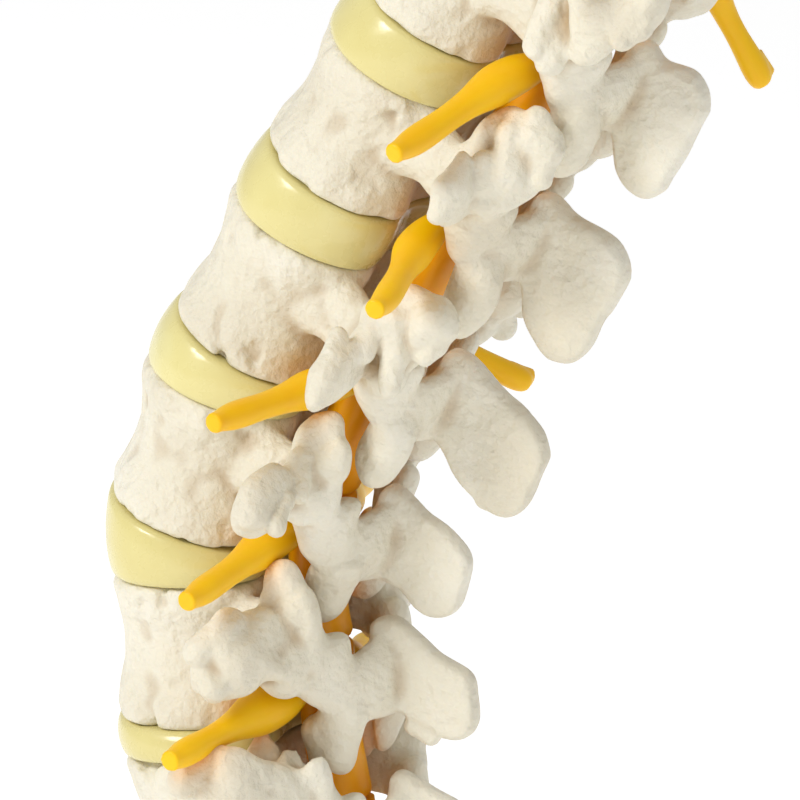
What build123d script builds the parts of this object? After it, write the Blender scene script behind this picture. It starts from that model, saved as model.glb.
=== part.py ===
"""Flexible lower part of a teaching skeleton's spine: vertebrae T12 to L5, their soft discs, the
nerve cord with its nerve stubs, and the flexible core that strings the section together.

Frame: +Z up, the spine faces -Y, +X is the person's left.  The origin is on the axis of the lower
ferrule, where it leaves the clamping nut.  Every vertebra is drawn in its own frame, with the
centre of its body at zero and its upper endplate towards +Z, and is then set in place.
"""

from build123d import *
from dataclasses import dataclass
from math import cos, radians, sin, sqrt
import os

# ---------------------------------------------------------------- driving dimensions, mm

CORE_RADIUS = 4.0                    # flexible steel core through every body and disc
CORE_CLEARANCE = 0.15                # between the core and the bore of a body
CORE_END_GAP = 0.8                   # from the end of a core length to the middle of a disc
DISC_BORE_RADIUS = 6.4
DISC_FACE_GAP = 0.1                  # between a disc and an endplate
DISC_BULGE = 1.045                   # middle of a disc against the rims of the bodies

FERRULE_RADIUS = 5.6                 # inside the end vertebra, the washer and the nut
SPIGOT_RADIUS = 5.0                  # free end of a ferrule, from the face of the nut
FERRULE_FREE_LENGTH = 16.0           # beyond the nut
FERRULE_SEAT_DEPTH = 8.0             # counterbore in the end vertebra
FERRULE_CAP = 2.0
FERRULE_CLEARANCE = 0.1
WASHER_RADIUS = 9.0
WASHER_THICKNESS = 1.6
NUT_ACROSS_FLATS = 17.0
NUT_HEIGHT = 6.4
END_STACK = WASHER_THICKNESS + NUT_HEIGHT

CANAL_Y = 24.0                       # centre of the vertebral canal behind the centre of the body
CANAL_HALF_WIDTH = 11.0
CANAL_HALF_DEPTH = 7.6
DURA_HALF_WIDTH = 7.0
DURA_HALF_DEPTH = 5.0
DURA_END_GAP = 0.5
DURA_END_REACH = 26.0                # of the cut ends, from the middle of the end vertebrae

NERVE_ROOT_RADIUS = 2.2
GANGLION_RADIUS = 3.5
NERVE_BODY_RADIUS = 2.9
NERVE_TIP_RADIUS = 2.5
NERVE_START = (8.9, 23.2, -7.0)      # beside the cord, in the frame of the vertebra above it
UPPERMOST_NERVE_START = (9.0, 22.5, 21.5)            # in the frame of the highest vertebra
UPPERMOST_GANGLION = (15.5, 21.0, 27.5)
UPPERMOST_LEFT_WAY = ((30.0, 19.0, 27.0), (44.0, 16.0, 24.0))
UPPERMOST_RIGHT_WAY = ((30.0, 25.0, 17.0), (38.0, 36.0, 2.0), (43.0, 49.0, -8.0))


@dataclass
class Level:
    """One vertebra: where it stands, and the sizes in which it differs from its neighbours."""
    name: str
    place: tuple             # y and z of the centre of the body, from that of the lowest body
    lean: float              # degrees, top towards the back
    endplate: tuple          # half width and half depth
    height: float            # of the body
    wing_tip: tuple          # transverse process: x, y and z of its tip
    wing_size: tuple         # and its height and thickness there
    wing_tilt: float         # degrees by which its upper edge leans back
    pillar: tuple            # upper articular process: y and z of its apex, and its depth
    knobs: tuple             # blunt bumps of the pillar: x, y, z, height and depth of each
    lower_tip: tuple         # lower articular process: y and z of its tip
    spine: tuple             # spinous process: reach, z of its upper and of its lower corner
    ganglion: tuple          # swelling of the nerves below this vertebra
    left_way: tuple          # points of the left nerve after its swelling, up to its tip
    right_way: tuple         # and of the right one, given with +X and mirrored


LEVELS = [
    Level("t12", (55.5, 171.0), 30, (20.5, 15.5), 25.0,
          wing_tip=(25.0, 27.5, 2.5), wing_size=(9.0, 7.0), wing_tilt=0, pillar=(27.0, 21.0, 12.0),
          knobs=((24.0, 33.0, 12.0, 16.0, 9.0), (25.0, 39.5, 20.0, 14.0, 8.0)),
          lower_tip=(35.5, -24.0), spine=(53.0, 6.0, -21.0),
          ganglion=(18.0, 20.5, -10.5), left_way=((44.0, 17.0, -22.5),),
          right_way=((43.0, 15.0, -20.0),)),
    Level("l1", (35.7, 139.5), 29, (21.5, 16.0), 26.0,
          wing_tip=(31.5, 28.5, 5.0), wing_size=(10.0, 4.6), wing_tilt=0, pillar=(29.5, 24.5, 14.0),
          knobs=((20.5, 36.0, 20.0, 12.0, 9.0), (20.5, 31.0, 7.5, 9.0, 8.0)),
          lower_tip=(35.5, -26.0), spine=(57.0, 5.0, -21.5),
          ganglion=(15.5, 23.0, -11.0), left_way=((44.0, 30.5, -13.0),),
          right_way=((43.0, 17.0, -16.0),)),
    Level("l2", (17.0, 105.8), 27, (22.0, 16.5), 27.0,
          wing_tip=(37.5, 25.5, 0.0), wing_size=(13.0, 4.6), wing_tilt=0, pillar=(29.5, 21.5, 13.5),
          knobs=((21.0, 35.5, 15.0, 13.0, 8.0), (20.0, 31.5, 2.0, 9.0, 7.0)),
          lower_tip=(34.5, -23.2), spine=(61.0, 2.0, -18.5),
          ganglion=(15.0, 20.0, -8.5), left_way=((44.0, 12.5, -13.5),),
          right_way=((24.0, 17.0, -10.0), (35.0, 24.0, -11.5), (44.0, 39.0, -13.5))),
    Level("l3", (2.0, 72.0), 17, (22.5, 16.8), 27.5,
          wing_tip=(37.5, 22.5, 4.0), wing_size=(14.0, 6.0), wing_tilt=0, pillar=(26.0, 21.5, 11.0),
          knobs=((20.0, 30.5, 13.0, 12.0, 7.0), (22.5, 28.0, 4.5, 11.0, 7.0)),
          lower_tip=(32.5, -22.5), spine=(55.5, 1.5, -15.5),
          ganglion=(15.0, 21.0, -9.0), left_way=((44.0, 19.5, -14.0),),
          right_way=((43.0, 14.0, -14.0),)),
    Level("l4", (-0.4, 33.7), -3, (22.5, 16.8), 27.5,
          wing_tip=(35.0, 16.5, 2.0), wing_size=(13.0, 12.0), wing_tilt=0, pillar=(25.0, 19.6, 9.4),
          knobs=((20.0, 30.0, 10.0, 12.0, 7.0), (24.0, 24.0, 2.0, 14.0, 9.0)),
          lower_tip=(30.0, -24.0), spine=(55.0, -2.0, -17.5),
          ganglion=(21.0, 17.6, -10.2), left_way=((44.0, 12.5, -12.8),),
          right_way=((43.0, 11.5, -12.8),)),
    Level("l5", (3.9, 0.0), -9, (23.0, 17.0), 27.5,
          wing_tip=(36.0, 15.5, 10.0), wing_size=(18.0, 11.0), wing_tilt=30, pillar=(25.0, 18.0, 9.0),
          knobs=((20.0, 29.5, 9.0, 12.0, 7.0), (24.0, 22.0, 6.0, 15.0, 11.0)),
          lower_tip=(31.0, -22.0), spine=(50.0, 0.0, -15.0),
          ganglion=(15.0, 20.0, -9.5), left_way=((42.0, 14.0, -16.0),),
          right_way=((42.0, 14.0, -16.0),)),
]


# ---------------------------------------------------------------- small tools

def seat(level):
    """The placement of one vertebra in the assembly."""
    lowest = LEVELS[-1]
    rise = lowest.height / 2 + END_STACK
    tilt = radians(lowest.lean)
    y = level.place[0] - lowest.place[0] + rise * sin(tilt)
    z = level.place[1] - lowest.place[1] + rise * cos(tilt)
    return Pos(0, y, z) * Rot(-level.lean, 0, 0)


def seated_point(level, point):
    """A point of a vertebra's own frame, in the frame of the assembly."""
    return (seat(level) * Pos(*point)).position


def limb(stations, wide_along):
    """A tapering limb through (x, y, z, width, thickness) stations, its width along a direction."""
    points = [Vector(*station[:3]) for station in stations]
    sections = []
    for index, (x, y, z, width, thickness) in enumerate(stations):
        before = points[max(index - 1, 0)]
        after = points[min(index + 1, len(points) - 1)]
        plane = Plane(origin=(x, y, z), x_dir=wide_along, z_dir=(after - before).normalized())
        sections.append(plane * Ellipse(width / 2, thickness / 2))
    return loft(sections)


def plate(stations, corner):
    """An upright plate from (y, upper edge, lower edge, thickness) stations towards the back."""
    sections = []
    for y, upper, lower, thickness in stations:
        plane = Plane(origin=(0, y, (upper + lower) / 2), x_dir=(0, 0, 1), z_dir=(0, 1, 0))
        sections.append(plane * RectangleRounded(upper - lower, thickness, corner))
    return loft(sections)


def kidney(half_width, half_depth):
    """The outline of an endplate: rounded in front, hollowed behind."""
    side = [(0.56, -0.84), (0.93, -0.38), (0.99, 0.18), (0.80, 0.72), (0.44, 0.97)]
    left = [(half_width * x, half_depth * y) for x, y in side]
    right = [(-x, y) for x, y in reversed(left)]
    outline = [(0, -half_depth)] + left + [(0, half_depth * 0.86)] + right
    return make_face(Spline(*outline, periodic=True))


def tube(radius, bore, length):
    """A sleeve from its base upwards."""
    low = (Align.CENTER, Align.CENTER, Align.MIN)
    return Cylinder(radius, length, align=low) - Cylinder(bore, length, align=low)


# ---------------------------------------------------------------- vertebra

def vertebral_body(level):
    """Drum with two proud rims and a waist between them."""
    profile = [(-0.50, 0.965), (-0.44, 1.0), (-0.34, 0.985), (-0.17, 0.925), (0.0, 0.90),
               (0.17, 0.925), (0.34, 0.985), (0.44, 1.0), (0.50, 0.965)]
    half_width, half_depth = level.endplate
    sections = []
    for height, scale in profile:
        sections.append(Pos(0, 0, level.height * height) * kidney(half_width * scale, half_depth * scale))
    return loft(sections)


def pedicle():
    """Left strut from the body to the arch."""
    return limb([(13.5, 8.0, 4.0, 16.0, 10.0), (14.5, 16.0, 5.0, 13.5, 8.0),
                 (15.5, 22.0, 4.5, 13.5, 8.0), (16.0, 29.0, 3.0, 14.0, 7.0)], (0, 0, 1))


def laminae():
    """The roof over the canal, from one pillar across to the other."""
    left = [(15.4, 28.0, 1.2, 11.5, 7.2), (12.0, 31.8, -4.4, 12.5, 6.8), (6.5, 35.0, -6.0, 14.5, 6.6)]
    right = [(-x, y, z, height, thickness) for x, y, z, height, thickness in reversed(left)]
    return limb(left + [(0.0, 37.0, -5.0, 17.0, 6.6)] + right, (0, 0, 1))


def upper_articular_process(level):
    """Left pillar with its apex above the upper endplate, and its blunt bumps."""
    y, z, depth = level.pillar
    pillar = limb([(16.8, 27.5, 0.0, 9.0, 7.0), (17.4, 27.5, 6.0, depth * 0.95, 8.0),
                   (18.3, y + 0.5, z - 8.5, depth, 7.0), (18.6, y, z - 3.0, depth * 0.75, 5.4),
                   (18.6, y - 0.5, z, depth * 0.35, 3.0)], (0, 1, 0))
    for x, knob_y, knob_z, height, knob_depth in level.knobs:
        root = (17.5, (knob_y + 28.0) / 2, knob_z, height * 0.9, knob_depth)
        crown = (x, knob_y, knob_z, height, knob_depth)
        end = (x + 2.0, knob_y + 0.6, knob_z - 0.5, height * 0.5, knob_depth * 0.5)
        pillar = pillar + limb([root, crown, end], (0, 0, 1))
    return pillar


def lower_articular_process(level):
    """Left process that hangs from the lamina behind its neighbour's pillar."""
    y, z = level.lower_tip
    return limb([(11.0, 31.8, -6.0, 7.0, 5.0), (9.4, (y + 33.0) / 2, -12.0, 8.6, 10.0),
                 (8.6, y - 0.7, z + 6.5, 8.8, 10.0), (8.5, y - 0.7, z + 1.8, 6.6, 7.0),
                 (8.5, y - 0.7, z, 3.2, 3.6)], (1, 0, 0))


def wing(level):
    """Left transverse process, a blade that stands out from the pillar."""
    x, y, z = level.wing_tip
    height, thickness = level.wing_size
    root = (15.5, 25.5, 5.0, 12.0, 8.0)
    middle = ((15.5 + x) / 2, (25.5 + y) / 2, (5.0 + z) / 2 + 1.0, (12.0 + height) / 2, thickness + 0.6)
    shoulder = (x - 3.0, y, z, height, thickness)
    upright = (0, sin(radians(level.wing_tilt)), cos(radians(level.wing_tilt)))
    return limb([root, middle, shoulder, (x, y, z - 0.5, height * 0.6, thickness * 0.55)], upright)


def spinous_process(level):
    """Hatchet plate in the middle plane, thicker along its back edge."""
    reach, top, foot = level.spine
    root = 34.0
    length = reach - root
    return plate([(root, 4.5, -11.0, 6.5), (root + 0.26 * length, 5.5, -13.0, 5.2),
                  (root + 0.50 * length, (top + 5.5) / 2, foot + 1.5, 4.8),
                  (root + 0.70 * length, top + 0.6, foot, 5.2),
                  (root + 0.88 * length, top - 1.2, foot + 0.5, 5.6),
                  (reach, top - 4.5, foot + 4.5, 4.6)], 2.0)


def vertebra(level):
    """One vertebra in its own frame, with its canal and the bore for the core."""
    side = pedicle() + upper_articular_process(level) + wing(level)
    foot = lower_articular_process(level)
    bone = laminae() + spinous_process(level) + foot + mirror(foot, Plane.YZ)
    bone = bone + side + mirror(side, Plane.YZ) + vertebral_body(level)
    canal = extrude(Ellipse(CANAL_HALF_WIDTH, CANAL_HALF_DEPTH), amount=60, both=True)
    bone = bone - Pos(0, CANAL_Y, 0) * canal
    bone = bone - Cylinder(CORE_RADIUS + CORE_CLEARANCE, level.height + 10)
    counterbore = Cylinder(FERRULE_RADIUS + CORE_CLEARANCE, 2 * FERRULE_SEAT_DEPTH)
    if level is LEVELS[0]:
        bone = bone - Pos(0, 0, level.height / 2) * counterbore
    if level is LEVELS[-1]:
        bone = bone - Pos(0, 0, -level.height / 2) * counterbore
    return bone


# ---------------------------------------------------------------- discs, cord and nerves

def disc_middle(above, below):
    """Placement of the middle of the disc between two vertebrae."""
    top = seated_point(above, (0, 0, -above.height / 2))
    bottom = seated_point(below, (0, 0, below.height / 2))
    middle = (top + bottom) / 2
    return Pos(0, middle.Y, middle.Z) * Rot(-(above.lean + below.lean) / 2, 0, 0)


def disc(above, below):
    """Soft ring between two endplates, a little proud of their rims."""
    width = (above.endplate[0] + below.endplate[0]) / 2
    depth = (above.endplate[1] + below.endplate[1]) / 2
    top = seat(above) * Pos(0, 0, -above.height / 2 - DISC_FACE_GAP) * kidney(*above.endplate)
    middle = disc_middle(above, below) * kidney(width * DISC_BULGE, depth * DISC_BULGE)
    bottom = seat(below) * Pos(0, 0, below.height / 2 + DISC_FACE_GAP) * kidney(*below.endplate)
    bore = disc_middle(above, below) * Cylinder(DISC_BORE_RADIUS, 40)
    return loft([bottom, middle, top]) - bore


def dura_outline():
    return Ellipse(DURA_HALF_WIDTH, DURA_HALF_DEPTH)


def dura(above, below):
    """Length of the nerve cord from the middle of one canal to the middle of the next."""
    top = seat(above) * Pos(0, CANAL_Y, -DURA_END_GAP / 2) * dura_outline()
    middle = disc_middle(above, below) * Pos(0, CANAL_Y - 0.5, 0) * dura_outline()
    bottom = seat(below) * Pos(0, CANAL_Y, DURA_END_GAP / 2) * dura_outline()
    return loft([bottom, middle, top])


def dura_end(level, upward):
    """Cut end of the nerve cord above the highest or below the lowest vertebra."""
    length = DURA_END_REACH - DURA_END_GAP / 2
    start = DURA_END_GAP / 2 if upward else -DURA_END_REACH
    return seat(level) * Pos(0, CANAL_Y, start) * extrude(dura_outline(), amount=length)


def nerve(start, ganglion, way):
    """Nerve stub: thin at the cord, a swelling, then a taper along its way to a rounded tip."""
    last = Vector(*(ganglion, *way)[-2])
    tip = Vector(*way[-1])
    neck = last + (tip - last) * 0.94
    shoulder = last + (tip - last) * 0.4
    stops = [(start, NERVE_ROOT_RADIUS), (ganglion, GANGLION_RADIUS)]
    stops += [(point, NERVE_BODY_RADIUS) for point in way[:-1]]
    stops += [((shoulder.X, shoulder.Y, shoulder.Z), NERVE_BODY_RADIUS)]
    stops += [((neck.X, neck.Y, neck.Z), NERVE_TIP_RADIUS), (way[-1], NERVE_TIP_RADIUS * 0.6)]
    return limb([(*point, 2 * radius, 2 * radius) for point, radius in stops], (0, 0, 1))


# ---------------------------------------------------------------- core and its end fittings

def half_gap(above, below):
    """Half the distance between the centres of two facing endplates."""
    top = seated_point(above, (0, 0, -above.height / 2))
    bottom = seated_point(below, (0, 0, below.height / 2))
    return (top - bottom).length / 2


def core_length(index):
    """Straight length of the core through one body and half of the discs beside it."""
    level = LEVELS[index]
    end = END_STACK + FERRULE_FREE_LENGTH - FERRULE_CAP - FERRULE_CLEARANCE
    up = end if index == 0 else half_gap(LEVELS[index - 1], level) - CORE_END_GAP
    down = end if level is LEVELS[-1] else half_gap(level, LEVELS[index + 1]) - CORE_END_GAP
    low = -level.height / 2 - down
    rod = Cylinder(CORE_RADIUS, level.height + down + up, align=(Align.CENTER, Align.CENTER, Align.MIN))
    return seat(level) * Pos(0, 0, low) * rod


def end_frame(level, upward):
    """Placement on an end vertebra's outer endplate, with +Z away from the spine."""
    turn = 0 if upward else 180
    side = 1 if upward else -1
    return seat(level) * Pos(0, 0, side * level.height / 2) * Rot(turn, 0, 0)


def ferrule():
    """Blind steel sleeve on the end of the core, with a slimmer spigot beyond the nut."""
    seat_length = FERRULE_SEAT_DEPTH + END_STACK
    bore = Cylinder(CORE_RADIUS + FERRULE_CLEARANCE / 2, seat_length + FERRULE_FREE_LENGTH - FERRULE_CAP,
                    align=(Align.CENTER, Align.CENTER, Align.MIN))
    shank = Cylinder(FERRULE_RADIUS, seat_length, align=(Align.CENTER, Align.CENTER, Align.MIN))
    spigot = Cylinder(SPIGOT_RADIUS, FERRULE_FREE_LENGTH, align=(Align.CENTER, Align.CENTER, Align.MIN))
    spigot = chamfer(spigot.edges().group_by(Axis.Z)[-1], 0.8)
    return Pos(0, 0, -FERRULE_SEAT_DEPTH) * (shank + Pos(0, 0, seat_length) * spigot - bore)


def washer():
    return tube(WASHER_RADIUS, FERRULE_RADIUS + 2 * FERRULE_CLEARANCE, WASHER_THICKNESS)


def nut():
    """Hexagon nut with chamfered corners."""
    hexagon = extrude(RegularPolygon(NUT_ACROSS_FLATS / 2, 6, major_radius=False), amount=NUT_HEIGHT)
    corner_radius = NUT_ACROSS_FLATS / sqrt(3)
    dome = Cone(corner_radius + NUT_HEIGHT, corner_radius - 0.6, NUT_HEIGHT + 0.6,
                align=(Align.CENTER, Align.CENTER, Align.MIN))
    bore = Cylinder(FERRULE_RADIUS + FERRULE_CLEARANCE, 3 * NUT_HEIGHT)
    return Pos(0, 0, WASHER_THICKNESS) * ((hexagon & dome) - bore)


# ---------------------------------------------------------------- write every node

def write(shape, node):
    export_step(shape, f"parts/{node}.step")


def write_nerves(level, name, start, ganglion, left_way, right_way):
    write(seat(level) * nerve(start, ganglion, left_way), f"nerve_left_{name}")
    write(mirror(seat(level) * nerve(start, ganglion, right_way), Plane.YZ), f"nerve_right_{name}")


def main():
    os.makedirs("parts", exist_ok=True)
    highest, lowest = LEVELS[0], LEVELS[-1]
    for index, level in enumerate(LEVELS):
        write(seat(level) * vertebra(level), f"vertebra_{level.name}")
        write(core_length(index), f"core_{level.name}")
        write_nerves(level, level.name, NERVE_START, level.ganglion, level.left_way, level.right_way)
    for above, below in zip(LEVELS, LEVELS[1:]):
        write(disc(above, below), f"disc_{above.name}_{below.name}")
        write(dura(above, below), f"dura_{above.name}_{below.name}")
    write_nerves(highest, "t11", UPPERMOST_NERVE_START, UPPERMOST_GANGLION, UPPERMOST_LEFT_WAY,
                 UPPERMOST_RIGHT_WAY)
    for end, level, upward in (("upper", highest, True), ("lower", lowest, False)):
        write(dura_end(level, upward), f"dura_{end}_end")
        write(end_frame(level, upward) * ferrule(), f"ferrule_{end}")
        write(end_frame(level, upward) * washer(), f"washer_{end}")
        write(end_frame(level, upward) * nut(), f"nut_{end}")


main()
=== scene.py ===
"""Looks of the flexible lower spine section: vertebrae, soft discs, nerve cord and nerve stubs."""

import math

import bmesh
import bpy
import numpy as np
import openvdb
from mathutils import Matrix, Vector
from mathutils.kdtree import KDTree

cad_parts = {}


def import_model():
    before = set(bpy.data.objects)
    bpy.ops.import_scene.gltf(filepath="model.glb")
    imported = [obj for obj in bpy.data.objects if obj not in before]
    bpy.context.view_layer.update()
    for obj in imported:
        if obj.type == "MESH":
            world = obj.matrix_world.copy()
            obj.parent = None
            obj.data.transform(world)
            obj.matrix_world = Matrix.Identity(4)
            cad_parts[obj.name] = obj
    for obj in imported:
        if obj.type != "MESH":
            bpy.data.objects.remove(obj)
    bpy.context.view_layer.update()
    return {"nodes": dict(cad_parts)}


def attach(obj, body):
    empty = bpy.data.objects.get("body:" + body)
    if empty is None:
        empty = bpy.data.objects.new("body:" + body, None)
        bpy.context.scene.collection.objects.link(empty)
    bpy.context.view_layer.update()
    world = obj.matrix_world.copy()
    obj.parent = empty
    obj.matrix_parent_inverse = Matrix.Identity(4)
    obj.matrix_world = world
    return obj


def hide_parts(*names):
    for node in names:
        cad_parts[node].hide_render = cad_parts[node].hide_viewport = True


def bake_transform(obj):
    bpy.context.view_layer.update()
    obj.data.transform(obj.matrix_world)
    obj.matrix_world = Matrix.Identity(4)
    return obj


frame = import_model()

MM = 0.001
BONE_VOXEL = 0.55                      # mm
DISC_VOXEL = 0.5
CORD_VOXEL = 0.7
NERVE_VOXEL = 0.4
BAND = 9                               # voxels of true distance on each side of a surface
FIELD_PAD = 4.0                        # mm of empty grid around a piece

# name: y and z of the centre of the body in mm, lean in degrees
SEATS = {
    "t12": (48.197, 192.482, 30), "l1": (28.397, 160.982, 29), "l2": (9.697, 127.282, 27),
    "l3": (-5.303, 93.482, 17), "l4": (-7.703, 55.182, -3), "l5": (-3.402, 21.482, -9)}
HALF_HEIGHT = {"t12": 12.5, "l1": 13.0, "l2": 13.5, "l3": 13.75, "l4": 13.75, "l5": 13.75}
ORDER = ["t12", "l1", "l2", "l3", "l4", "l5"]


# ---------------------------------------------------------------- fields on a grid, in mm

class Field:
    """A signed distance field on a grid that is lined up with a frame of its own."""

    def __init__(self, node, place, voxel):
        mesh = frame["nodes"][node].data
        mesh.calc_loop_triangles()
        points = np.empty(len(mesh.vertices) * 3, np.float32)
        mesh.vertices.foreach_get("co", points)
        triangles = np.empty(len(mesh.loop_triangles) * 3, np.int32)
        mesh.loop_triangles.foreach_get("vertices", triangles)
        self.place = place
        inverse = np.array(place.inverted(), np.float32)
        points = points.reshape(-1, 3) @ inverse[:3, :3].T + inverse[:3, 3]
        points = points / MM
        self.voxel = voxel
        self.low = points.min(0) - FIELD_PAD
        size = np.ceil((points.max(0) + FIELD_PAD - self.low) / voxel).astype(int)
        scaled = ((points - self.low) / voxel).astype(np.float32)
        grid = openvdb.FloatGrid.createLevelSetFromPolygons(
            scaled, triangles=triangles.reshape(-1, 3).astype(np.uint32), halfWidth=float(BAND))
        self.values = np.full(size, float(BAND), np.float32)
        grid.copyToArray(self.values)
        self.values *= voxel

    def axes(self):
        """x, y and z of the grid points, ready to broadcast."""
        shape = self.values.shape
        x, y, z = (self.low[i] + self.voxel * np.arange(shape[i], dtype=np.float32) for i in range(3))
        return x[:, None, None], y[None, :, None], z[None, None, :]

    def blur(self, sigma_mm):
        self.values = blurred(self.values, sigma_mm / self.voxel)

    def add(self, extra, soft):
        """Smooth union with another distance field."""
        mix = np.clip(0.5 + 0.5 * (self.values - extra) / soft, 0, 1)
        self.values = self.values * (1 - mix) + extra * mix - soft * mix * (1 - mix)

    def away(self, first, second):
        """Distance to a pair of rounded limbs between two (|x|, y, z, radius) stations."""
        x, y, z = self.axes()
        x = np.abs(x)
        a = np.array(first[:3])
        d = np.array(second[:3]) - a
        t = ((x - a[0]) * d[0] + (y - a[1]) * d[1] + (z - a[2]) * d[2]) / float(d @ d)
        t = np.clip(t, 0, 1)
        distance = np.sqrt((x - a[0] - t * d[0]) ** 2 + (y - a[1] - t * d[1]) ** 2
                           + (z - a[2] - t * d[2]) ** 2)
        return distance - (first[3] + t * (second[3] - first[3]))

    def limb(self, stations, soft):
        for first, second in zip(stations, stations[1:]):
            self.add(self.away(first, second), soft)

    def carve(self, stations, soft):
        for first, second in zip(stations, stations[1:]):
            self.values *= -1
            self.add(self.away(first, second), soft)
            self.values *= -1

    def mesh(self, name, iso=0.0):
        grid = openvdb.FloatGrid(float(BAND) * self.voxel)
        grid.copyFromArray(np.ascontiguousarray(self.values))
        points, quads = grid.convertToQuads(iso)
        points = (points * self.voxel + self.low) * MM
        place = np.array(self.place)
        points = points @ place[:3, :3].T + place[:3, 3]
        return new_mesh(name, points, quads[:, ::-1])

    def sample(self, values, points_m):
        """Grid values at points of the row frame."""
        inverse = np.array(self.place.inverted())
        local = (points_m @ inverse[:3, :3].T + inverse[:3, 3]) / MM
        steps = np.clip((local - self.low) / self.voxel, 0, np.array(values.shape) - 1.001)
        cell = steps.astype(int)
        part = steps - cell
        total = np.zeros(len(steps))
        for corner in range(8):
            offset = np.array([corner >> 2 & 1, corner >> 1 & 1, corner & 1])
            weight = np.prod(np.where(offset, part, 1 - part), axis=1)
            i, j, k = (cell + offset).T
            total += weight * values[i, j, k]
        return total


def blurred(values, sigma):
    """Gaussian blur, one axis after the other."""
    reach = max(1, int(math.ceil(2.5 * sigma)))
    steps = np.arange(-reach, reach + 1)
    weights = np.exp(-0.5 * (steps / sigma) ** 2)
    weights /= weights.sum()
    for axis in range(3):
        padded = np.pad(values, [(reach, reach) if a == axis else (0, 0) for a in range(3)], mode="edge")
        total = np.zeros_like(values)
        for index, weight in enumerate(weights):
            window = [slice(None)] * 3
            window[axis] = slice(index, index + values.shape[axis])
            total += np.float32(weight) * padded[tuple(window)]
        values = total
    return values


def lumps(shape, voxel, wave, rng):
    """Smooth random field, about -1 to 1, with a wave length in mm for each axis."""
    counts = [int(math.ceil(n * voxel / w)) + 4 for n, w in zip(shape, wave)]
    values = rng.uniform(-1, 1, counts).astype(np.float32)
    for axis in range(3):
        t = np.arange(shape[axis]) * voxel / wave[axis]
        cell = np.floor(t).astype(int)
        f = t - cell
        weights = np.zeros((shape[axis], counts[axis]), np.float32)
        parts = ((1 - f) ** 3 / 6, (3 * f ** 3 - 6 * f ** 2 + 4) / 6,
                 (-3 * f ** 3 + 3 * f ** 2 + 3 * f + 1) / 6, f ** 3 / 6)
        for k, part in enumerate(parts):
            weights[np.arange(shape[axis]), cell + k] += part
        values = np.moveaxis(np.tensordot(weights, values, axes=(1, axis)), 0, axis)
    return values * 2.2


def seat(name):
    y, z, lean = SEATS[name]
    return Matrix.Translation((0, y * MM, z * MM)) @ Matrix.Rotation(math.radians(-lean), 4, "X")


def new_mesh(name, points, quads):
    mesh = bpy.data.meshes.new(name)
    mesh.vertices.add(len(points))
    mesh.vertices.foreach_set("co", np.ascontiguousarray(points, np.float32).ravel())
    mesh.loops.add(len(quads) * 4)
    mesh.loops.foreach_set("vertex_index", np.ascontiguousarray(quads, np.int32).ravel())
    mesh.polygons.add(len(quads))
    mesh.polygons.foreach_set("loop_start", np.arange(0, len(quads) * 4, 4, dtype=np.int32))
    mesh.polygons.foreach_set("loop_total", np.full(len(quads), 4, np.int32))
    mesh.polygons.foreach_set("use_smooth", np.ones(len(quads), bool))
    mesh.update(calc_edges=True)
    mesh.validate()
    thing = bpy.data.objects.new(name, mesh)
    bpy.context.scene.collection.objects.link(thing)
    return thing


def coordinates(thing):
    points = np.empty(len(thing.data.vertices) * 3, np.float32)
    thing.data.vertices.foreach_get("co", points)
    return points.reshape(-1, 3)


# ---------------------------------------------------------------- materials

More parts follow.
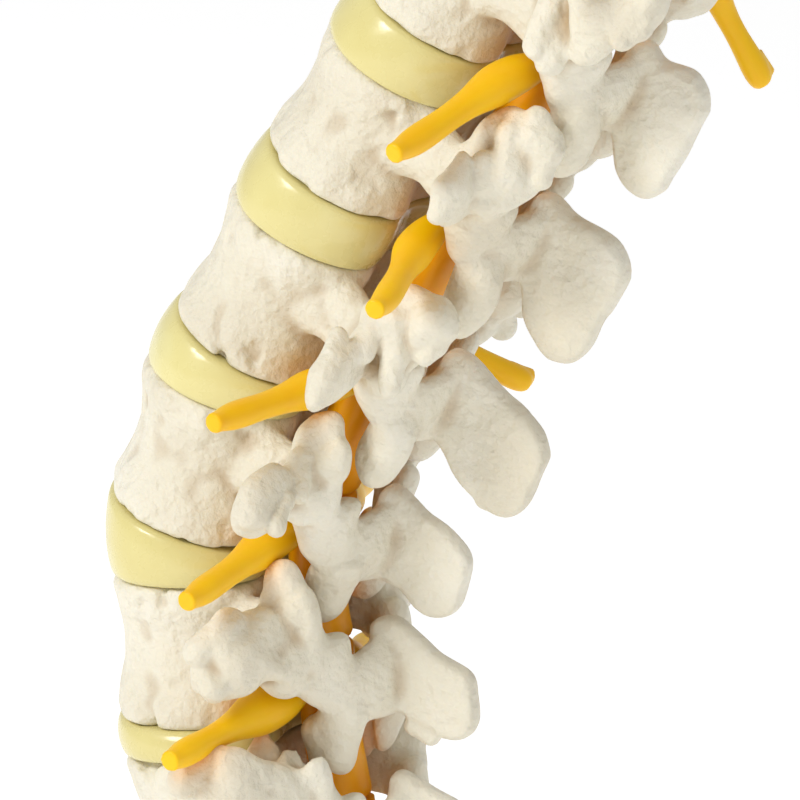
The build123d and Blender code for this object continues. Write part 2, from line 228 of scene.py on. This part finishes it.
class Nodes:
    """Short hand for building a material."""

    def __init__(self, name):
        self.material = bpy.data.materials.new(name)
        self.material.use_nodes = True
        self.tree = self.material.node_tree
        self.shader = self.tree.nodes["Principled BSDF"]
        self.place = self.add("ShaderNodeTexCoord").outputs["Object"]

    def add(self, kind, **settings):
        node = self.tree.nodes.new(kind)
        for key, value in settings.items():
            if hasattr(node, key):
                setattr(node, key, value)
            else:
                node.inputs[key.replace("_", " ")].default_value = value
        return node

    def link(self, source, target):
        self.tree.links.new(source, target)

    def noise(self, scale, detail=3.0, stretch=None, roughness=0.5):
        node = self.add("ShaderNodeTexNoise", Scale=scale, Detail=detail, Roughness=roughness)
        place = self.place
        if stretch:
            mapping = self.add("ShaderNodeMapping", Scale=stretch)
            self.link(self.place, mapping.inputs["Vector"])
            place = mapping.outputs["Vector"]
        self.link(place, node.inputs["Vector"])
        return node.outputs["Fac"]

    def pores(self, scale):
        node = self.add("ShaderNodeTexVoronoi", Scale=scale)
        self.link(self.place, node.inputs["Vector"])
        return node.outputs["Distance"]

    def attribute(self, name):
        return self.add("ShaderNodeAttribute", attribute_name=name).outputs["Fac"]

    def ramp(self, source, stops):
        node = self.add("ShaderNodeValToRGB")
        elements = node.color_ramp.elements
        while len(elements) < len(stops):
            elements.new(0.5)
        for element, (position, color) in zip(elements, stops):
            element.position = position
            element.color = (*color, 1)
        self.link(source, node.inputs["Fac"])
        return node.outputs["Color"]

    def mix(self, share, first, second):
        """Colour mix of sockets or plain colours, by the socket share."""
        node = self.add("ShaderNodeMix", data_type="RGBA")
        for value, index in ((share, 0), (first, 6), (second, 7)):
            if isinstance(value, tuple):
                node.inputs[index].default_value = (*value, 1)
            else:
                self.link(value, node.inputs[index])
        return node.outputs[2]

    def span(self, source, low, high, to_low, to_high):
        node = self.add("ShaderNodeMapRange")
        self.link(source, node.inputs["Value"])
        for key, value in (("From Min", low), ("From Max", high), ("To Min", to_low), ("To Max", to_high)):
            node.inputs[key].default_value = value
        return node.outputs["Result"]

    def bump(self, heights):
        """Chains (height, strength, distance in metres) bumps into the shader's normal."""
        normal = None
        for height, strength, distance in heights:
            node = self.add("ShaderNodeBump", Strength=strength, Distance=distance)
            self.link(height, node.inputs["Height"])
            if normal:
                self.link(normal, node.inputs["Normal"])
            normal = node.outputs["Normal"]
        self.link(normal, self.shader.inputs["Normal"])

    def set(self, **values):
        for key, value in values.items():
            self.shader.inputs[key.replace("_", " ")].default_value = value


def bone_material():
    n = Nodes("bone_plastic")
    broad = n.noise(38.0, 4.0)
    fine = n.noise(240.0, 5.0)
    tone = n.ramp(broad, [(0.30, (0.71, 0.65, 0.51)), (0.50, (0.77, 0.72, 0.58)),
                          (0.70, (0.82, 0.78, 0.66))])
    # Painted shade: the bone colour darkens to brown in crevices, by how deep each point lies in one.
    painted_crevice_shade = n.span(n.attribute("painted_crevice_shade"), 0.0, 0.6, 0.0, 1.0)
    warm = n.mix(painted_crevice_shade, tone, (0.47, 0.34, 0.19))
    # Painted orange bounce light: the bone turns orange near the cord and the nerves.
    painted_bounce_light = n.mix(n.attribute("painted_bounce_light"), warm, (0.85, 0.42, 0.12))
    n.link(painted_bounce_light, n.shader.inputs["Base Color"])
    n.link(n.span(fine, 0.3, 0.7, 0.42, 0.60), n.shader.inputs["Roughness"])
    n.set(Subsurface_Weight=0.12, Subsurface_Radius=(1.0, 0.75, 0.45), Subsurface_Scale=0.002)
    n.bump([(n.noise(190.0, 7.0, roughness=0.6), 0.7, 0.0013), (n.noise(620.0, 4.0), 0.6, 0.0007),
            (n.pores(520.0), 0.5, 0.0005)])
    return n.material


def disc_material():
    n = Nodes("disc_plastic")
    tone = n.ramp(n.noise(50.0, 3.0), [(0.3, (0.66, 0.57, 0.22)), (0.6, (0.72, 0.64, 0.27)),
                                       (0.8, (0.76, 0.70, 0.34))])
    n.link(tone, n.shader.inputs["Base Color"])
    n.link(n.span(n.noise(300.0), 0.3, 0.7, 0.22, 0.34), n.shader.inputs["Roughness"])
    n.set(Coat_Weight=0.25, Coat_Roughness=0.15)
    n.bump([(n.noise(70.0, 3.0, (1, 1, 2.5)), 0.3, 0.0008), (n.noise(400.0, 3.0), 0.15, 0.0003)])
    return n.material


def nerve_material(name, dark, light):
    n = Nodes(name)
    n.link(n.ramp(n.noise(80.0, 3.0), [(0.3, dark), (0.7, light)]), n.shader.inputs["Base Color"])
    n.link(n.span(n.noise(300.0), 0.3, 0.7, 0.34, 0.46), n.shader.inputs["Roughness"])
    n.set(Subsurface_Weight=0.2, Subsurface_Radius=(1.0, 0.5, 0.05), Subsurface_Scale=0.002,
          Specular_IOR_Level=0.35)
    n.bump([(n.noise(260.0, 4.0), 0.2, 0.0004)])
    return n.material


def steel_material(name, color, roughness):
    n = Nodes(name)
    n.link(n.ramp(n.noise(200.0, 4.0), [(0.3, tuple(0.8 * c for c in color)), (0.7, color)]),
           n.shader.inputs["Base Color"])
    n.link(n.span(n.noise(900.0, 4.0), 0.3, 0.7, roughness * 0.8, roughness * 1.3),
           n.shader.inputs["Roughness"])
    n.set(Metallic=1.0)
    n.bump([(n.noise(1200.0, 2.0), 0.15, 0.0001)])
    return n.material


def dress(thing, material):
    thing.data.materials.clear()
    thing.data.materials.append(material)


# ---------------------------------------------------------------- vertebrae

ARCH_START_Y = 13.0                    # mm behind the middle of a body, where its arch begins
WING_START_X = 12.0                    # mm from the middle plane, where the processes begin
# Blur of the painted crevice shade; reach and strength of the painted orange bounce light near the cord
# and the nerves.
CREVICE_SHADE_BLUR = 2.0                      # mm
BOUNCE_LIGHT_REACH = 2.6                       # mm from a warm piece
BOUNCE_LIGHT_MOST = 0.75

# rounded lobes of each pair of processes, as limbs of (|x|, y, z, radius) stations in mm
LOBES = {
    "t12": [[(20, 22, 11, 2.6), (24.5, 24.5, 3, 2.8)], [(22, 27, 15, 2.6), (23.5, 33, 8, 2.8)],
            [(22, 33, 22, 2.4), (25, 38.5, 15, 2.8)], [(22, 38.5, 24, 2.6), (24.5, 40, 18, 2.4)],
            [(0, 49.5, -18.2, 1.8), (0, 51.6, -15.9, 1.8)]],
    "l1": [[(27, 25.6, 14, 1.6), (31, 27.2, 9, 2.3), (32.8, 28.2, 4.2, 2.0)],
           [(19, 33, 25.5, 2.2), (20, 38, 22, 2.0), (20.4, 39, 17, 2.2)],
           [(20, 37, 14, 2.2), (22, 35, 10.5, 2.0), (23.5, 32, 7.5, 2.0)],
           [(21, 30, 20, 3.4), (22, 33.5, 14.5, 3.8)],
           [(24, 28.5, 14.5, 2.6), (23.5, 31, 11, 2.6)], [(0, 51.6, -19.6, 1.9), (0, 54, -18.2, 1.9)]],
    "l2": [[(30, 22.5, 9, 2.0), (35.5, 25.0, 3, 2.4), (37, 26.2, -1, 2.0)],
           [(18.5, 33.5, 20, 2.2), (18.5, 37, 16.5, 2.2), (19.2, 37, 13, 2.6), (20.5, 36.4, 10.5, 2.4)],
           [(22.5, 31, 8, 2.6), (24, 34, 3, 2.4)], [(22, 24, 13, 2.0), (26, 27.5, 7, 2.2)],
           [(21.5, 28, 13.5, 3.2), (22, 31.5, 8.5, 3.0)], [(0, 53, -17.4, 1.9), (0, 59, -12.2, 1.9)]],
    "l3": [[(18, 27, 19, 3.0), (18.5, 29.5, 12, 3.2)], [(29, 23.5, 10, 2.6), (36, 24, 4.5, 3.2)],
           [(30, 27.5, 6.5, 2.2), (34.5, 28.6, 3.4, 2.4)], [(22, 24.5, 12, 2.4), (25.5, 28, 7, 2.4)],
           [(0, 47.8, -12.6, 2.0), (0, 50.8, -12.0, 2.0)]],
    "l4": [[(30, 19, 10, 3.0), (34.5, 15, 6, 3.4)], [(34, 16, 1, 3.2), (35, 18, -0.5, 2.8)],
           [(30, 23, 5.5, 2.6), (26, 26, 1.5, 2.6)], [(19, 26, 18, 2.4), (20, 28.5, 11.5, 2.8)],
           [(24, 24, 9, 2.4), (29, 21.5, 4, 2.6)], [(0, 41.6, -15.6, 2.0), (0, 45, -17.2, 2.0)],
           [(9, 26.8, -15.5, 4.0), (9, 26.6, -21.2, 2.6), (9, 26.6, -24.4, 1.3)]],
    "l5": [[(33, 14.5, 17, 3.0), (36, 10, 14, 3.2)], [(34, 16.5, 12, 2.8), (35, 18, 7, 2.8)],
           [(24, 22, 12, 2.4), (28, 20, 7, 2.6)],
           [(18, 17, 7, 5.0), (18, 17.5, 13, 3.8), (18, 18, 18, 1.7)]]}
# and what is carved away, in the same form
CARVED = {"l5": [[(18.6, 19.5, 27, 3.5), (18.6, 21, 23.5, 4.0)],
                 [(18.6, 25.5, 17, 3.0), (18.6, 27, 13.5, 2.5)]]}


def pitted(field, name, rng):
    """Cast bone surface: lumps, upright flutes and pits on the body, knobs on the processes."""
    shape, voxel = field.values.shape, field.voxel
    x, y, z = field.axes()
    half = HALF_HEIGHT[name]
    front = 1 / (1 + np.exp((y - ARCH_START_Y) / 1.5))
    rim = np.exp(-((np.abs(z) - half + 2.5) / 3.2) ** 2)
    side = front * (np.abs(z) < half - 0.3)
    wings = (1 - front) / (1 + np.exp((WING_START_X - np.abs(x)) / 1.5))
    plates = (1 - front) * (1 - wings)
    broad = lumps(shape, voxel, (8, 8, 8), rng)
    flutes = lumps(shape, voxel, (3.2, 3.2, 10), rng)
    grain = lumps(shape, voxel, (2.4, 2.4, 2.4), rng)
    pits = lumps(shape, voxel, (2.0, 2.0, 2.6), rng)
    knobs = lumps(shape, voxel, (4.6, 4.6, 4.6), rng)
    field.values += 0.28 * broad
    field.values += side * (0.24 * flutes + (0.13 + 0.32 * rim) * grain)
    field.values += side * (0.35 + rim) * 2.0 * np.clip(pits - 0.34, 0, 0.5)
    folds = lumps(shape, voxel, (5.5, 5.5, 5.5), rng)
    field.values += wings * (0.6 * knobs + 0.9 * (0.35 - np.abs(folds)) + 0.3 * grain)
    field.values += plates * (0.25 * knobs + 0.35 * (0.35 - np.abs(folds)) + 0.17 * grain)


def paint_crevice_shade(field, thing):
    """How deep in a crevice each point lies, for the painted crevice shade in the bone colour."""
    deep = -blurred(field.values, CREVICE_SHADE_BLUR / field.voxel)
    values = field.sample(deep, coordinates(thing))
    values = np.clip(values / 1.2, 0, 1)
    attribute = thing.data.attributes.new("painted_crevice_shade", "FLOAT", "POINT")
    attribute.data.foreach_set("value", values.astype(np.float32))


def paint_bounce_light(thing, warm_points):
    """How near each point lies to the orange cord or a nerve, for the painted orange bounce light on the
    bone.
    """
    tree = KDTree(len(warm_points))
    for index, point in enumerate(warm_points):
        tree.insert(point, index)
    tree.balance()
    away = np.array([tree.find(point)[2] for point in coordinates(thing)])
    values = BOUNCE_LIGHT_MOST * np.exp(-(away / (BOUNCE_LIGHT_REACH * MM)) ** 1.3)
    attribute = thing.data.attributes.new("painted_bounce_light", "FLOAT", "POINT")
    attribute.data.foreach_set("value", values.astype(np.float32))


def vertebra(name, material, warm_points):
    node = f"vertebra_{name}"
    rng = np.random.default_rng(100 + ORDER.index(name))
    field = Field(node, seat(name), BONE_VOXEL)
    field.blur(0.55)
    for carving in CARVED.get(name, []):
        field.carve(carving, 1.0)
    for lobe in LOBES[name]:
        field.limb(lobe, 1.0)
    pitted(field, name, rng)
    field.blur(0.28)
    thing = field.mesh(f"bone_{name}")
    # Painted crevice shade and painted orange bounce light, stored on the points for the bone colour.
    paint_crevice_shade(field, thing)
    paint_bounce_light(thing, warm_points)
    dress(thing, material)
    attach(thing, name)
    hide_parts(node)


# ---------------------------------------------------------------- soft pieces

def halves(thing, centre, along, names):
    """Cuts a piece at a plane into the part before it and the part after it."""
    pieces = []
    for name, sign in zip(names, (-1, 1)):
        mesh = thing.data.copy()
        work = bmesh.new()
        work.from_mesh(mesh)
        bmesh.ops.bisect_plane(work, geom=work.verts[:] + work.edges[:] + work.faces[:],
                               dist=1e-7, plane_co=centre, plane_no=along,
                               clear_inner=sign > 0, clear_outer=sign < 0)
        work.to_mesh(mesh)
        work.free()
        piece = bpy.data.objects.new(name, mesh)
        bpy.context.scene.collection.objects.link(piece)
        pieces.append(piece)
    bpy.data.objects.remove(thing)
    return pieces


def across(node, above, below, material, voxel, blur, rough):
    """A soft piece between two vertebrae, cut into two halves at its middle plane."""
    middle = (end_point(above, -1) + end_point(below, 1)) / 2
    lean = (SEATS[above][2] + SEATS[below][2]) / 2
    turn = Matrix.Rotation(math.radians(-lean), 4, "X")
    along = turn @ Vector((0, 0, 1))
    field = Field(node, Matrix.Translation(middle) @ turn, voxel)
    field.blur(blur)
    rng = np.random.default_rng(300 + ORDER.index(above))
    field.values += rough * lumps(field.values.shape, voxel, (7, 7, 5), rng)
    lower, upper = halves(field.mesh(node), middle, along,
                          (f"soft_{node}_lower", f"soft_{node}_upper"))
    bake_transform(lower)
    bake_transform(upper)
    for piece in (lower, upper):
        dress(piece, material)
        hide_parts(node)
    return [lower, upper]


def end_point(name, side):
    """Centre of an endplate, the upper one with side 1."""
    return seat(name) @ Vector((0, 0, side * HALF_HEIGHT[name] * MM))


TIP_RADIUS = 1.95                      # mm, of a nerve stub's cut end
TIP_REACH = 1.0                        # how far it stands past the CAD solid's tip


def shape_nerve(field):
    """A swelling near the cord, a slimmer length after it, and a tip that is cut off square."""
    inside = np.argwhere(field.values < 0) * field.voxel + field.low
    away = np.abs(inside[:, 0])
    root = inside[away < away.min() + 2].mean(0)
    tip = inside[away > away.max() - 0.8].mean(0)
    length = float(np.linalg.norm(tip - root))
    x, y, z = field.axes()
    way = (tip - root) / length
    along = (x - root[0]) * way[0] + (y - root[1]) * way[1] + (z - root[2]) * way[2]
    share = along / length
    swell = np.exp(-((share - 0.30) / 0.13) ** 2)
    slim = 1 / (1 + np.exp((0.56 - share) / 0.07))
    field.values += 0.65 * slim - 0.55 * swell
    neck = inside[(away > away.max() - 7) & (away < away.max() - 5)].mean(0)
    end_way = (tip - neck) / np.linalg.norm(tip - neck)
    past = (x - tip[0]) * end_way[0] + (y - tip[1]) * end_way[1] + (z - tip[2]) * end_way[2]
    aside = np.sqrt(np.maximum((x - tip[0]) ** 2 + (y - tip[1]) ** 2 + (z - tip[2]) ** 2 - past ** 2, 0))
    field.add(np.maximum(aside - TIP_RADIUS, np.maximum(past - 2.0, -past - 4.0)), 0.8)
    flat = past - TIP_REACH
    mix = np.clip(0.5 + 0.5 * (flat - field.values) / 0.4, 0, 1)
    field.values = field.values * (1 - mix) + flat * mix + 0.4 * mix * (1 - mix)


def stub(node, body, material):
    """A nerve stub that rides on one body."""
    field = Field(node, Matrix.Identity(4), NERVE_VOXEL)
    field.blur(0.4)
    shape_nerve(field)
    rng = np.random.default_rng(500 + sum(node.encode()))
    field.values += 0.10 * lumps(field.values.shape, NERVE_VOXEL, (6, 6, 6), rng)
    thing = field.mesh(f"soft_{node}")
    dress(thing, material)
    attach(thing, body)
    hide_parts(node)
    return thing


# ---------------------------------------------------------------- the whole section

nerve_plastic = nerve_material("nerve_plastic", (0.92, 0.50, 0.0), (0.97, 0.58, 0.0))
# The cord's orange is a deeper copy of the nerves' orange: painted shade for the shadow the cord lies in
# inside the canal.
cord_plastic = nerve_material("cord_plastic", (0.93, 0.36, 0.0), (0.97, 0.43, 0.0))
disc_plastic = disc_material()
bone_plastic = bone_material()

PAIRS = list(zip(ORDER, ORDER[1:]))
warm = []
for above, below in PAIRS:
    pair = f"{above}_{below}"
    across(f"disc_{pair}", above, below, disc_plastic,
           DISC_VOXEL, blur=0.6, rough=0.12)
    warm += across(f"dura_{pair}", above, below, cord_plastic,
                   CORD_VOXEL, blur=0.7, rough=0.2)
    for hand in ("left", "right"):
        warm.append(stub(f"nerve_{hand}_{above}", f"disc_{pair}", nerve_plastic))
for hand in ("left", "right"):
    warm.append(stub(f"nerve_{hand}_t11", "t12", nerve_plastic))
    warm.append(stub(f"nerve_{hand}_l5", "l5", nerve_plastic))

# Points of the orange pieces, where the painted orange bounce light on the bone comes from.
warm_points = np.concatenate([coordinates(thing)[::5] for thing in warm])
for name in ORDER:
    vertebra(name, bone_plastic, warm_points)

core_steel = steel_material("core_steel", (0.40, 0.40, 0.41), 0.4)
ferrule_steel = steel_material("ferrule_steel", (0.62, 0.62, 0.63), 0.3)
plated_steel = steel_material("plated_steel", (0.72, 0.72, 0.73), 0.18)
for name in ORDER:
    dress(frame["nodes"][f"core_{name}"], core_steel)
for end in ("upper", "lower"):
    dress(frame["nodes"][f"ferrule_{end}"], ferrule_steel)
    dress(frame["nodes"][f"washer_{end}"], plated_steel)
    dress(frame["nodes"][f"nut_{end}"], plated_steel)
    dress(frame["nodes"][f"dura_{end}_end"], cord_plastic)


# ---------------------------------------------------------------- floor, light and camera

FLOOR_SIZE = 14                        # m
FLOOR_Z = -0.05
SKY_STRENGTH = 0.52

def floor():
    bpy.ops.mesh.primitive_plane_add(size=1)
    thing = bpy.context.object
    thing.name = "floor"
    thing.scale = (FLOOR_SIZE, FLOOR_SIZE, 1)
    thing.location = (0, 0, FLOOR_Z)
    n = Nodes("floor_white")
    n.link(n.ramp(n.noise(3.0, 2.0), [(0.0, (0.93, 0.93, 0.93)), (1.0, (0.95, 0.95, 0.95))]),
           n.shader.inputs["Base Color"])
    n.set(Roughness=0.9, Emission_Color=(1, 1, 1, 1), Emission_Strength=0.4)
    thing.data.materials.append(n.material)


def area_light(name, place, target, size, power):
    data = bpy.data.lights.new(name, "AREA")
    data.shape = "DISK"
    data.size = size
    data.energy = power
    lamp = bpy.data.objects.new(name, data)
    lamp.location = place
    lamp.rotation_euler = (Vector(target) - Vector(place)).to_track_quat("-Z", "Y").to_euler()
    bpy.context.scene.collection.objects.link(lamp)


AZIMUTH, ELEVATION = math.radians(116), math.radians(15.5)
CENTRE = Vector((0, 0.0317, 0.105))
FIELD_WIDTH = 0.14925                  # m across the picture, at CENTRE
DISTANCE = 2.4
SENSOR = 36.0                          # mm
BACK = Vector((math.sin(AZIMUTH) * math.cos(ELEVATION), -math.cos(AZIMUTH) * math.cos(ELEVATION),
               math.sin(ELEVATION)))
UP = Vector((0, 0, 1))
RIGHT = UP.cross(BACK).normalized()


def camera():
    data = bpy.data.cameras.new("camera")
    data.sensor_width = SENSOR
    data.lens = SENSOR * DISTANCE / FIELD_WIDTH
    data.clip_end = 50
    thing = bpy.data.objects.new("camera", data)
    thing.location = CENTRE + BACK * DISTANCE
    thing.rotation_euler = BACK.to_track_quat("Z", "Y").to_euler()
    bpy.context.scene.collection.objects.link(thing)
    bpy.context.scene.camera = thing


def world():
    sky = bpy.data.worlds.new("world")
    sky.use_nodes = True
    sky.node_tree.nodes["Background"].inputs["Color"].default_value = (1, 1, 1, 1)
    sky.node_tree.nodes["Background"].inputs["Strength"].default_value = SKY_STRENGTH
    bpy.context.scene.world = sky
    bpy.context.scene.view_settings.view_transform = "Standard"


floor()
world()
camera()
area_light("key", CENTRE - RIGHT * 0.9 + BACK * 0.7 + UP * 0.7, CENTRE, 0.5, 11)
area_light("fill", CENTRE + RIGHT * 0.8 + BACK * 0.9 + UP * 0.3, CENTRE, 0.9, 0.5)
